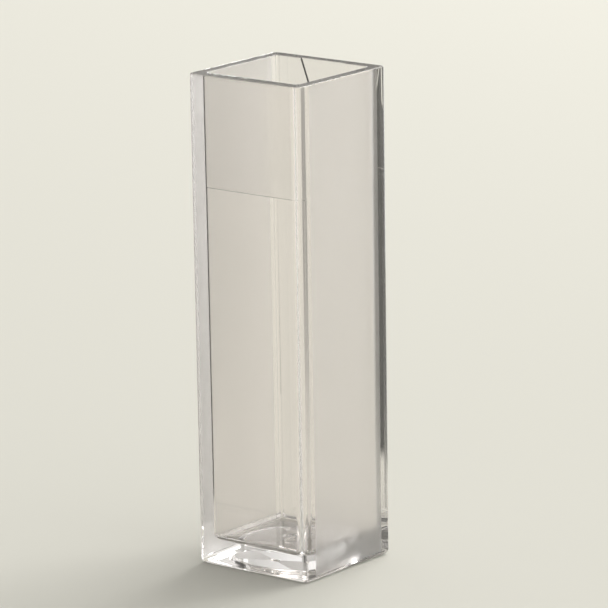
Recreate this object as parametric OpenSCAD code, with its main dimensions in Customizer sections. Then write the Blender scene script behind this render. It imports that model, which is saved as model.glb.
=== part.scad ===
// Disposable macro cuvette: a tall square cell, open at the top, moulded in one piece.
// Two opposite walls are clear windows, which face -X and +X. The other two are matt outside.
// The origin is at the middle of the base, with +Z up towards the mouth.

/* [Outside] */
// Height from the base to the rim
body_h = 45; // [30:0.5:60]
// Outside width at the rim
rim_w = 12.5; // [12:0.05:14]
// Outside width at the base, a little less so that the piece leaves its mould
base_w = 12.35; // [12:0.05:13.5]
// Radius of the four upright outside edges
edge_r = 0.5; // [0.2:0.05:1.2]
// Radius of the edges around the base
base_r = 0.5; // [0.2:0.05:1.2]
// Radius of the rim's inner and outer edges
rim_r = 0.12; // [0.05:0.01:0.3]

/* [Cavity] */
// Inside width of the mouth between the matt walls
mouth_w = 10.3; // [9.6:0.05:10.8]
// Inside width at the floor between the matt walls
floor_w = 10; // [9:0.05:10.4]
// Light path, which is the inside distance between the clear windows
path_w = 10; // [9:0.05:10.4]
// Thickness of the floor
floor_t = 2.2; // [1.6:0.1:4]
// Radius of the upright inside corners
corner_r = 0.35; // [0.1:0.05:1]
// Radius where the walls meet the floor
floor_r = 0.7; // [0.3:0.05:1.5]
// Diameter of the shallow round dimple that the core's pin leaves in the middle of the floor
pin_d = 1.4; // [0.6:0.1:3]
// Depth of the dimple
pin_depth = 0.08; // [0.02:0.01:0.3]

/* [Windows] */
// Height of the windows' top edge above the base
window_top = 34.7; // [20:0.1:40]
// Height by which each window stands in from the wall above it
window_step = 0.05; // [0.02:0.01:0.2]

/* [Base recess] */
// Diameter of the round recess under the floor
recess_d = 9.2; // [6:0.1:10]
// Depth of the recess
recess_depth = 0.5; // [0.2:0.05:1]
// Diameter of the moulding gate's stub at the middle of the recess
gate_d = 1.2; // [0.6:0.1:2.5]
// Height of the stub
gate_h = 0.2; // [0.1:0.05:0.6]

/* [Light path mark] */
// Width of the triangle at the rim
mark_w = 4.9; // [2:0.1:7]
// Length of the triangle from the rim to its point
mark_l = 6.6; // [3:0.1:8]
// Depth of the triangle in the window wall
mark_depth = 0.15; // [0.05:0.01:0.25]

/* [Hidden] */
arc_steps = 6; // facets in each quarter turn
over = 1; // how far a cutter runs past the surface that it opens
taper = (rim_w - base_w) / (2 * body_h);
mouth_taper = (mouth_w - floor_w) / (2 * (body_h - floor_t));

// Points of a rounded rectangle of half sizes hx and hy at height z, anticlockwise
function ring(hx, hy, r, z) = [
    for (quarter = [0:3], i = [0:arc_steps])
        let (
            a = 90 * (quarter + i / arc_steps),
            sx = quarter == 0 || quarter == 3 ? 1 : -1,
            sy = quarter < 2 ? 1 : -1
        )
        [sx * (hx - r) + r * cos(a), sy * (hy - r) + r * sin(a), z]
];

// Solid skin through a list of rings, from the lowest to the highest
module loft(rings) {
    n = len(rings[0]);
    last = len(rings) - 1;
    polyhedron(
        points = [for (level = rings, p = level) p],
        faces = concat(
            [[for (i = [0:n - 1]) i]],
            [for (k = [0:last - 1], i = [0:n - 1])
                [k * n + i, (k + 1) * n + i, (k + 1) * n + (i + 1) % n, k * n + (i + 1) % n]],
            [[for (i = [n - 1:-1:0]) last * n + i]]
        )
    );
}

// Half width of the outside at height z
function outside(z) = base_w / 2 + taper * z;

// Half width of the cavity between the matt walls at height z
function matt(z) = floor_w / 2 + mouth_taper * (z - floor_t);

// Half distance between the windows at height z: level with the light path, then stepped out
function window(z) = path_w / 2 + (z > window_top ? window_step + mouth_taper * (z - window_top) : 0);

module outside_block() {
    quarter = [for (i = [0:arc_steps]) 90 * i / arc_steps];
    loft(concat(
        [for (a = quarter)
            let (in = base_r * (1 - sin(a)), z = base_r * (1 - cos(a)))
            ring(outside(z) - in, outside(z) - in, edge_r, z)],
        [for (a = quarter)
            let (in = rim_r * (1 - cos(a)), z = body_h - rim_r * (1 - sin(a)))
            ring(outside(z) - in, outside(z) - in, edge_r, z)]
    ));
}

module cavity() {
    quarter = [for (i = [0:arc_steps]) 90 * i / arc_steps];
    loft(concat(
        [for (a = quarter)
            let (in = floor_r * (1 - sin(a)), z = floor_t + floor_r * (1 - cos(a)))
            ring(window(z) - in, matt(z) - in, corner_r, z)],
        [ring(window(window_top), matt(window_top), corner_r, window_top)],
        [let (z = window_top + window_step) ring(window(z), matt(z), corner_r, z)],
        [for (a = quarter)
            let (out = rim_r * (1 - cos(a)), z = body_h - rim_r * (1 - sin(a)))
            ring(window(z) + out, matt(z) + out, corner_r + out, z)],
        [let (z = body_h + over) ring(window(body_h) + rim_r, matt(body_h) + rim_r, corner_r + rim_r, z)]
    ));
}

// Shallow round recess under the floor, with the gate's stub left standing in it
module base_recess() {
    difference() {
        translate([0, 0, -over])
            cylinder(d = recess_d, h = recess_depth + over, $fn = 96);
        translate([0, 0, recess_depth - gate_h])
            cylinder(d = gate_d, h = gate_h + over, $fn = 32);
    }
}

// Shallow dimple in the middle of the cavity's floor
module pin_dimple() {
    translate([0, 0, floor_t - pin_depth])
        cylinder(d = pin_d, h = pin_depth + over, $fn = 32);
}

// Triangle pressed into one window wall at the mouth, which points down the light path
module light_path_mark() {
    z_top = body_h + over;
    half = mark_w / 2 * (mark_l + over) / mark_l;
    translate([window(body_h) - over, 0, z_top])
        rotate([90, 0, 90])
            linear_extrude(over + mark_depth)
                polygon([[-half, 0], [0, -mark_l - over], [half, 0]]);
}

module cuvette() {
    color([0.9, 0.92, 0.9, 0.45])
        difference() {
            outside_block();
            cavity();
            pin_dimple();
            base_recess();
            light_path_mark();
        }
}

cuvette();
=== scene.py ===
import math

import bpy
import numpy as np
from mathutils import Matrix, Vector


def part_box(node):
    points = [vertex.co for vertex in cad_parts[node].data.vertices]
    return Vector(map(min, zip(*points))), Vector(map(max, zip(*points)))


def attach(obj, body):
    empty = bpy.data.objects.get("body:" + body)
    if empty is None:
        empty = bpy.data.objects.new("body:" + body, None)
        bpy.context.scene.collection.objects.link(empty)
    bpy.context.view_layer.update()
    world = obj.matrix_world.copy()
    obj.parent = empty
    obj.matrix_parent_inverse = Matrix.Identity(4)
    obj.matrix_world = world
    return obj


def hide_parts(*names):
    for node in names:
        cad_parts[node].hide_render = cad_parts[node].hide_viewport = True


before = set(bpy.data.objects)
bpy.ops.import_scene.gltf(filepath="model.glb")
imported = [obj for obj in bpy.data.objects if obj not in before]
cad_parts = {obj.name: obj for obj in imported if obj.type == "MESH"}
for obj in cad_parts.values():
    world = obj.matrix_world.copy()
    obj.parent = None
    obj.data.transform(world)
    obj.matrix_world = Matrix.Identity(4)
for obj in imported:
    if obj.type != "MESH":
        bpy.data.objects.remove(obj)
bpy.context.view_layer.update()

# The moulded cell: four walls and a floor of clear polystyrene, injection moulded in one piece.
# The walls on -X and +X are polished windows, and the cavity's core is satin above the one on -X.
# The mould is matt where it shapes the panels outside on -Y and +Y.
MM = 0.001
base_w = 12.35
edge_r = 0.5
base_r = 0.5
rim_r = 0.12
mouth_w = 10.3
floor_w = 10.0
path_w = 10.0
floor_t = 2.2
corner_r = 0.35
floor_r = 0.7
pin_d = 1.4
pin_depth = 0.08
panel_half = 4.8
window_top = 34.7
window_step = 0.05
recess_d = 9.2
recess_depth = 0.5
recess_slope_w = 0.7
gate_d = 1.2
gate_h = 0.2
gate_r = 0.08
mark_w = 4.9
mark_l = 6.6
mark_depth = 0.15
mark_bevel = 0.06
pole_r = 0.05
facets = 8
support = 0.02

cell_low, cell_high = (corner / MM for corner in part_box("cuvette"))
rim_w = cell_high.x - cell_low.x
body_h = cell_high.z - cell_low.z
draft = (mouth_w - floor_w) / 2 / (body_h - floor_t)


def outside_half(z):
    """Half the outside width at height z, on a straight line from the base to the rim."""
    return base_w / 2 + (rim_w - base_w) / 2 * z / body_h


def matt_half(z):
    """Half the distance between the matt walls, on a straight line from the floor to the mouth."""
    return floor_w / 2 + draft * (z - floor_t)


def window_half(z):
    """Half the light path: even up to the windows' top edge, a small step there, then the draft."""
    above = max(z - window_top, 0)
    return path_w / 2 + window_step * min(above / window_step, 1) + draft * above


def quarter_turn(steps):
    """Angles from 0 to a right angle in even steps."""
    return np.linspace(0, math.pi / 2, steps + 1)


def underside_rows():
    """Circles from the middle of the gate's stub out to the recess's rim, each as (half x, half y,
    corner radius, height, roundness), where a circle has roundness 1 and a square 0."""
    stub_z = recess_depth - gate_h
    path = [(r, stub_z) for r in (pole_r, gate_d / 4)]
    path += [
        (gate_d / 2 - gate_r * (1 - math.sin(a)), stub_z + gate_r * (1 - math.cos(a)))
        for a in quarter_turn(4)
    ]
    path += [(gate_d / 2, recess_depth - support), (gate_d / 2 + support, recess_depth)]
    foot = (recess_d - recess_slope_w) / 2
    path += [(r, recess_depth) for r in np.linspace(gate_d / 2 + 0.1, foot - support, 5)]
    steepest = 2 * math.atan2(recess_depth, recess_slope_w)
    ease_r = recess_slope_w / 2 / math.sin(steepest)
    easing = [
        (ease_r * math.sin(a), ease_r * (1 - math.cos(a))) for a in np.linspace(0, steepest, 6)
    ]
    path += [(foot + run, recess_depth - rise) for run, rise in easing]
    brim = foot + recess_slope_w
    path += [(brim - run, rise) for run, rise in easing[-2::-1]] + [(brim + 0.1, 0)]
    return [(r, r, r, z, 1) for r, z in path]


def outside_rows():
    """Rounded squares from the base's flat ring up over its rounding, up the walls and over the
    rim's outer edge. A row lies close beside each rounding, so that flat faces stay flat."""
    path = [(base_w / 2 - base_r - support, 0)]
    for a in quarter_turn(facets):
        z = base_r * (1 - math.cos(a))
        path.append((outside_half(z) - base_r * (1 - math.sin(a)), z))
    for z in (base_r + support, *np.linspace(2, body_h - 2, 12), body_h - rim_r - support):
        path.append((outside_half(z), z))
    for a in quarter_turn(4):
        z = body_h - rim_r * (1 - math.sin(a))
        path.append((outside_half(z) - rim_r * (1 - math.cos(a)), z))
    path.append((outside_half(body_h) - rim_r - support, body_h))
    return [(half, half, edge_r, z, 0) for half, z in path]


def inside_rows():
    """Rounded squares from the rim's inner edge down the cavity, over the windows' step, round
    into the floor and in over it to the middle."""
    rows = []

    def row(z, out=0.0):
        rows.append((window_half(z) + out, matt_half(z) + out, corner_r + max(out, 0), z, 0))

    row(body_h, rim_r + support)
    for a in quarter_turn(4):
        row(body_h - rim_r * (1 - math.cos(a)), rim_r * (1 - math.sin(a)))
    tip = body_h - mark_l
    step = window_top + window_step
    upper = [*np.linspace(body_h - rim_r - support, tip + 1, 6), tip + mark_bevel + support]
    upper += [tip + mark_bevel, tip, tip - support, (tip + step) / 2]
    for z in (*upper, step + support, step, window_top, window_top - support):
        row(z)
    for z in (*np.linspace(33, floor_t + floor_r + 1, 10), floor_t + floor_r + support):
        row(z)
    for a in quarter_turn(facets):
        row(floor_t + floor_r * (1 - math.sin(a)), floor_r * (math.cos(a) - 1))
    flat = floor_w / 2 - floor_r
    for share in (1 - support / flat, 0.8, 0.55, 0.35):
        rows.append((flat * share, flat * share, corner_r * share, floor_t, 0))
    pin_z = floor_t - pin_depth
    dimple = [(pin_d / 2 + 0.2, floor_t), (pin_d / 2 + support, floor_t), (pin_d / 2, floor_t - support)]
    dimple += [(pin_d / 2 - support, pin_z + support), (pin_d / 2 - 2 * support, pin_z)]
    dimple += [(0.4, pin_z), (0.03, pin_z)]
    return rows + [(r, r, r, z, 1) for r, z in dimple]


def cell_grid():
    """Points of the whole surface, one loop round the piece for each row. A loop is a quarter
    circle at each corner with a straight side after it. On the +X side two groups of its points
    follow the sloping edges of the light path mark, and those between them sink by its depth."""
    under, outer, inner = underside_rows(), outside_rows(), inside_rows()
    rows = np.array(under + outer + inner, float)[:, :, None]
    half_x, half_y, radius, z, roundness = (rows[:, k] for k in range(5))
    run_x, run_y = half_x - radius, half_y - radius
    within = np.arange(len(rows))[:, None] >= len(under) + len(outer)

    even = np.tan(np.linspace(-math.pi / 4, math.pi / 4, 27)[1:-1])
    border = panel_half / (base_w / 2 - edge_r)
    side = np.concatenate([[support / 5 - 1, -border], even[1:-1], [border, 1 - support / 5]])
    size = run_y / (floor_w / 2 - corner_r)
    slope = np.abs(z - body_h + mark_l) * mark_w / 2 / mark_l
    on_wall = within & (z > floor_t + floor_r)
    slope = np.where(on_wall, np.clip(slope, 2 * support, mark_w / 2), run_y / 2)
    beside = slope + (mark_bevel + support) * size
    outer_part = np.concatenate([[support / 3], np.linspace(0.1, 0.9, 9)])
    left = -run_y + (run_y - beside) * outer_part
    edge = -slope + size * np.array([-mark_bevel - support, -mark_bevel, 0, support])
    middle = (slope - size * support) * np.linspace(-0.9, 0.9, 10)
    mark_y = np.concatenate([left, edge, middle, -edge[:, ::-1], -left[:, ::-1]], axis=1)
    half_shape = np.array([0] * (outer_part.size + 2) + [1] * 7)
    shape = np.concatenate([half_shape, half_shape[::-1]])
    sunk = (within & (z > body_h - mark_l + support)) * shape

    def corner(sx, sy, start):
        angle = start + quarter_turn(facets)
        return sx * run_x + radius * np.cos(angle), sy * run_y + radius * np.sin(angle)

    right = math.pi / 2
    parts = [corner(1, 1, 0), (-run_x * side, half_y + 0 * side)]
    parts += [corner(-1, 1, right), (-half_x + 0 * side, -run_y * side)]
    parts += [corner(-1, -1, 2 * right), (run_x * side, -half_y + 0 * side)]
    parts += [corner(1, -1, 3 * right), (half_x + mark_depth * sunk, mark_y)]
    x = np.concatenate([part[0] for part in parts], axis=1)
    y = np.concatenate([part[1] for part in parts], axis=1)
    group = np.concatenate([[k] * part[0].shape[1] for k, part in enumerate(parts)])
    turn = np.arctan2(y[len(under)], x[len(under)])
    x = np.where(roundness > 0, half_x * np.cos(turn), x)
    y = np.where(roundness > 0, half_y * np.sin(turn), y)
    return np.stack([x, y, z + 0 * x], axis=-1), group, len(under) + len(outer)


def closed_skin(name, points):
    """A mesh whose rows of points are joined into rings of quads, with a fan of triangles that
    closes the first and the last row."""
    rows, columns = points.shape[:2]
    index = np.arange(rows * columns).reshape(rows, columns)
    after = np.roll(index, -1, axis=1)
    quads = np.stack([index[:-1], index[1:], after[1:], after[:-1]], axis=-1).reshape(-1, 4)
    first, last = rows * columns, rows * columns + 1
    start = np.stack([np.full(columns, first), index[0], after[0]], axis=-1)
    end = np.stack([np.full(columns, last), after[-1], index[-1]], axis=-1)
    centres = [points[0].mean(axis=0), points[-1].mean(axis=0)]
    vertices = np.concatenate([points.reshape(-1, 3), centres]) * MM
    faces = [part[:, ::-1].tolist() for part in (quads, start, end)]
    mesh = bpy.data.meshes.new(name)
    mesh.from_pydata(vertices.tolist(), [], sum(faces, []))
    mesh.validate()
    mesh.shade_smooth()
    return mesh


points, group, inner_row = cell_grid()
cell_mesh = closed_skin("cuvette_moulding", points)
moulding = bpy.data.objects.new("cuvette_moulding", cell_mesh)
bpy.context.scene.collection.objects.link(moulding)


def moulded_skin():
    """A node group for the face that a mould leaves: a fine grain that the roughness follows, the
    same grain and a broad unevenness as relief, and a tint that drifts with the melt's flow."""
    group = bpy.data.node_groups.new("moulded skin", "ShaderNodeTree")
    for name in ("Smooth", "Rough", "Grain scale", "Grain depth", "Flow depth"):
        group.interface.new_socket(name, in_out="INPUT", socket_type="NodeSocketFloat")
    group.interface.new_socket("Tint", in_out="OUTPUT", socket_type="NodeSocketColor")
    group.interface.new_socket("Roughness", in_out="OUTPUT", socket_type="NodeSocketFloat")
    group.interface.new_socket("Normal", in_out="OUTPUT", socket_type="NodeSocketVector")
    nodes, link = group.nodes, group.links.new
    given, made = nodes.new("NodeGroupInput"), nodes.new("NodeGroupOutput")
    place = nodes.new("ShaderNodeTexCoord")

    grain = nodes.new("ShaderNodeTexNoise")
    grain.inputs["Detail"].default_value = 3
    link(place.outputs["Object"], grain.inputs["Vector"])
    link(given.outputs["Grain scale"], grain.inputs["Scale"])
    spread = nodes.new("ShaderNodeMapRange")
    spread.inputs["From Min"].default_value, spread.inputs["From Max"].default_value = 0.3, 0.7
    link(grain.outputs["Fac"], spread.inputs["Value"])
    link(given.outputs["Smooth"], spread.inputs["To Min"])
    link(given.outputs["Rough"], spread.inputs["To Max"])
    link(spread.outputs["Result"], made.inputs["Roughness"])

    stretch = nodes.new("ShaderNodeMapping")
    stretch.inputs["Scale"].default_value = (260, 260, 90)
    link(place.outputs["Object"], stretch.inputs["Vector"])
    flow = nodes.new("ShaderNodeTexNoise")
    flow.inputs["Scale"].default_value = 1
    flow.inputs["Detail"].default_value = 1
    flow.inputs["Distortion"].default_value = 0.4
    link(stretch.outputs["Vector"], flow.inputs["Vector"])
    tint = nodes.new("ShaderNodeValToRGB")
    tint.color_ramp.elements[0].position, tint.color_ramp.elements[1].position = 0.35, 0.65
    tint.color_ramp.elements[0].color = (0.965, 0.9435, 0.932, 1)
    tint.color_ramp.elements[1].color = (0.979, 0.955, 0.944, 1)
    link(flow.outputs["Fac"], tint.inputs["Fac"])
    link(tint.outputs["Color"], made.inputs["Tint"])

    uneven, grained = nodes.new("ShaderNodeBump"), nodes.new("ShaderNodeBump")
    link(flow.outputs["Fac"], uneven.inputs["Height"])
    link(given.outputs["Flow depth"], uneven.inputs["Distance"])
    link(grain.outputs["Fac"], grained.inputs["Height"])
    link(given.outputs["Grain depth"], grained.inputs["Distance"])
    link(uneven.outputs["Normal"], grained.inputs["Normal"])
    link(grained.outputs["Normal"], made.inputs["Normal"])
    return group


skin = moulded_skin()


def polystyrene(name, smooth, rough, grain, depth=0):
    """Clear polystyrene whose face has a roughness between two values, in grains of a width and
    a depth in mm."""
    material = bpy.data.materials.new(name)
    material.use_nodes = True
    nodes, link = material.node_tree.nodes, material.node_tree.links.new
    shader = nodes["Principled BSDF"]
    shader.inputs["Transmission Weight"].default_value = 1
    shader.inputs["IOR"].default_value = 1.59
    face = nodes.new("ShaderNodeGroup")
    face.node_tree = skin
    face.inputs["Smooth"].default_value = smooth
    face.inputs["Rough"].default_value = rough
    face.inputs["Grain scale"].default_value = 1 / (grain * MM)
    face.inputs["Grain depth"].default_value = depth * MM
    face.inputs["Flow depth"].default_value = 0.002 * MM
    link(face.outputs["Tint"], shader.inputs["Base Color"])
    link(face.outputs["Roughness"], shader.inputs["Roughness"])
    link(face.outputs["Normal"], shader.inputs["Normal"])
    return material


skins = moulding.data.materials
skins.append(polystyrene("polished", smooth=0, rough=0.015, grain=1.5))
skins.append(polystyrene("satin", smooth=0.25, rough=0.27, grain=0.9))
skins.append(polystyrene("matt", smooth=0.47, rough=0.53, grain=0.1))
skins.append(polystyrene("pitted", smooth=0.1, rough=0.5, grain=0.2, depth=0.03))

# The polished skin is everywhere but on the satin and matt faces and in the dimple.
faces = moulding.data.polygons
centre = np.empty(3 * len(faces))
faces.foreach_get("center", centre)
x, y, z = centre.reshape(-1, 3).T / MM
rows, columns = points.shape[:2]
row_of = np.arange(len(faces)) // columns
group_of = np.append(np.tile(group, rows - 1), np.full(2 * columns, -1))
in_cavity = (row_of >= inner_row) & (row_of < rows - 1)
outside = (row_of < inner_row - 1) & (z > base_r) & (z < body_h - rim_r)
is_matt = outside & np.isin(group_of, (1, 5)) & (abs(x) < panel_half)
is_satin = in_cavity & (group_of == 3) & (z > window_top) & (z < body_h - rim_r)
is_pitted = (np.hypot(x, y) < pin_d / 2 - support) & (abs(z - floor_t + pin_depth) < support)
slots = np.select([is_satin, is_matt, is_pitted], [1, 2, 3], 0)
faces.foreach_set("material_index", slots)
moulding.data.update()
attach(moulding, "root")
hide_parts("cuvette")

# The camera: a little above the cell and off one of its corners, with a long lens. It is turned a
# little about its own line of sight, and its frame is shifted by a share of its width.
scene = bpy.context.scene
aim = Vector((0, 0, 22.5)) * MM
camera_az, camera_el, camera_roll = (math.radians(a) for a in (-51.448, 13.49, -0.962))
camera_away = 447.6 * MM
sensor, lens = 36, 295.91645
shift_x, shift_y = 0.02111842, 0.020625
right = Vector((math.cos(camera_az), math.sin(camera_az), 0))
ahead = Vector((-math.sin(camera_az), math.cos(camera_az), 0))
back = Vector((0, 0, 1)) * math.sin(camera_el) - ahead * math.cos(camera_el)
up = back.cross(right)
camera = bpy.data.objects.new("camera", bpy.data.cameras.new("camera"))
scene.collection.objects.link(camera)
camera.data.sensor_width = sensor
camera.data.lens = lens
camera.data.shift_x, camera.data.shift_y = shift_x, shift_y
camera.data.clip_start, camera.data.clip_end = 0.01, 10
turned = Matrix((right, up, back)).transposed() @ Matrix.Rotation(camera_roll, 3, "Z")
camera.matrix_world = Matrix.Translation(aim + back * camera_away) @ turned.to_4x4()
scene.camera = camera

# The bench: a wide pale board with a matt face.
bpy.ops.mesh.primitive_plane_add(size=4)
bench = bpy.context.object
bench.name = "bench"
bench.location.z = -0.03 * MM
board = bpy.data.materials.new("board")
board.use_nodes = True
board_shader = board.node_tree.nodes["Principled BSDF"]
board_shader.inputs["Base Color"].default_value = (0.72, 0.713, 0.657, 1)
board_shader.inputs["Roughness"].default_value = 1
board_shader.inputs["Specular IOR Level"].default_value = 0
bench.data.materials.append(board)

# The room: soft light, brighter on the side that faces a window. To the eye, and straight through
# the cell, its walls look evenly pale.
room = bpy.data.worlds.new("room")
scene.world = room
room.use_nodes = True
nodes, link = room.node_tree.nodes, room.node_tree.links.new
direction = nodes.new("ShaderNodeTexCoord")
toward_window = nodes.new("ShaderNodeVectorMath")
toward_window.operation = "DOT_PRODUCT"
toward_window.inputs[1].default_value = (0.63, -0.53, 0.57)
rise = nodes.new("ShaderNodeMapRange")
rise.interpolation_type = "SMOOTHSTEP"
rise.inputs["From Min"].default_value, rise.inputs["From Max"].default_value = -0.3, 0.9
rise.inputs["To Min"].default_value, rise.inputs["To Max"].default_value = 0.25, 0.95
link(direction.outputs["Generated"], toward_window.inputs[0])
link(toward_window.outputs["Value"], rise.inputs["Value"])
path = nodes.new("ShaderNodeLightPath")
direct = nodes.new("ShaderNodeMath")
direct.operation = "LESS_THAN"
direct.inputs[1].default_value = 0.5
link(path.outputs["Glossy Depth"], direct.inputs[0])
through = nodes.new("ShaderNodeMath")
through.operation = "MULTIPLY_ADD"
link(direct.outputs["Value"], through.inputs[0])
link(path.outputs["Is Transmission Ray"], through.inputs[1])
link(path.outputs["Is Camera Ray"], through.inputs[2])
shade = nodes.new("ShaderNodeMix")
shade.inputs["B"].default_value = 0.8
link(through.outputs["Value"], shade.inputs["Factor"])
link(rise.outputs["Result"], shade.inputs["A"])
nodes["Background"].inputs["Color"].default_value = (1, 0.99, 0.95, 1)
link(shade.outputs["Result"], nodes["Background"].inputs["Strength"])


# The lamp: a square soft one that faces the cell. Its azimuth is the direction from the cell, from
# +X towards +Y, and its elevation is counted from the bench.
lamp_az, lamp_el = math.radians(-5), math.radians(34)
lamp_away, lamp_size, lamp_power = 900, 800, 6.7
level = Vector((math.cos(lamp_az), math.sin(lamp_az), 0))
toward_lamp = level * math.cos(lamp_el) + Vector((0, 0, math.sin(lamp_el)))
key = bpy.data.objects.new("key", bpy.data.lights.new("key", "AREA"))
scene.collection.objects.link(key)
key.data.size = lamp_size * MM
key.data.energy = lamp_power
key.data.color = (1, 0.985, 0.96)
key.location = aim + toward_lamp * lamp_away * MM
key.rotation_mode = "QUATERNION"
key.rotation_quaternion = toward_lamp.to_track_quat("Z", "Y")


def card(name, azimuth, away, width, height, raised=0):
    """A card that faces the cell from a distance in mm and stands on the bench, or is raised
    above it. Its azimuth is the direction from the cell, in degrees from +X to +Y."""
    bpy.ops.mesh.primitive_plane_add(size=1)
    sheet = bpy.context.object
    sheet.name = name
    toward = Vector((math.cos(math.radians(azimuth)), math.sin(math.radians(azimuth)), 0))
    sheet.scale = (width * MM, height * MM, 1)
    sheet.rotation_mode = "QUATERNION"
    sheet.rotation_quaternion = (-toward).to_track_quat("Z", "Y")
    sheet.location = (toward * away + Vector((0, 0, raised + height / 2))) * MM
    sheet.data.materials.append(bpy.data.materials.new(name))
    sheet.data.materials[0].use_nodes = True
    sheet.visible_shadow = False
    sheet.visible_diffuse = False
    return sheet


def glow(sheet, strength):
    """Make a card shine evenly, unseen by the camera itself."""
    sheet.visible_camera = False
    tree = sheet.data.materials[0].node_tree
    light = tree.nodes.new("ShaderNodeEmission")
    light.inputs["Strength"].default_value = strength
    tree.links.new(light.outputs["Emission"], tree.nodes["Material Output"].inputs["Surface"])


def shine_back(sheet, strength, axis, margin):
    """Make a card shine evenly for rays that the cell has reflected, and be clear to all others.
    It fades in from one edge, over a share of its width (X) or height (Y)."""
    sheet.visible_camera = False
    tree = sheet.data.materials[0].node_tree
    nodes, link = tree.nodes, tree.links.new
    on_card = nodes.new("ShaderNodeTexCoord")
    across = nodes.new("ShaderNodeSeparateXYZ")
    fade = nodes.new("ShaderNodeMapRange")
    fade.inputs["From Max"].default_value = margin
    fade.interpolation_type = "SMOOTHSTEP"
    link(on_card.outputs["UV"], across.inputs["Vector"])
    link(across.outputs[axis], fade.inputs["Value"])
    path = nodes.new("ShaderNodeLightPath")
    seen = nodes.new("ShaderNodeMath")
    seen.operation = "GREATER_THAN"
    seen.inputs[1].default_value = 0.5
    link(path.outputs["Glossy Depth"], seen.inputs[0])
    cover = nodes.new("ShaderNodeMath")
    cover.operation = "MULTIPLY"
    link(fade.outputs["Result"], cover.inputs[0])
    link(seen.outputs["Value"], cover.inputs[1])
    clear, shine = nodes.new("ShaderNodeBsdfTransparent"), nodes.new("ShaderNodeEmission")
    shine.inputs["Strength"].default_value = strength
    both = nodes.new("ShaderNodeMixShader")
    link(cover.outputs["Value"], both.inputs["Fac"])
    link(clear.outputs["BSDF"], both.inputs[1])
    link(shine.outputs["Emission"], both.inputs[2])
    link(both.outputs["Shader"], nodes["Material Output"].inputs["Surface"])


# The dark post, behind the cell, that its corners show as dark lines.
post = card("post", azimuth=69, away=60, width=22, height=40)
glow(post, strength=0.03)

# The white card, low and to the right of the camera's view, that whitens the floor and the corners.
white_card = card("white card", azimuth=2, away=120, width=190, height=55)
shine_back(white_card, strength=1.25, axis="X", margin=0.1)

# The bright strip above its end, that the floor mirrors into the matt panel as a soft glow.
bright_strip = card("bright strip", azimuth=42, away=120, width=8, height=20, raised=40)
shine_back(bright_strip, strength=16, axis="X", margin=0.01)

# The shade above both, that the rim mirrors.
rim_shade = card("shade", azimuth=40, away=120, width=90, height=45, raised=57)
shine_back(rim_shade, strength=0.16, axis="Y", margin=0.05)

# The dark card, close behind the cell, that darkens the wall seen edge on. It fades out towards
# the bench.
dark_card = card("dark card", azimuth=98, away=23, width=38, height=60)
shine_back(dark_card, strength=0.03, axis="Y", margin=0.03)

scene.view_settings.view_transform = "Standard"
scene.cycles.max_bounces = 32
scene.cycles.transmission_bounces = 24
scene.cycles.glossy_bounces = 24
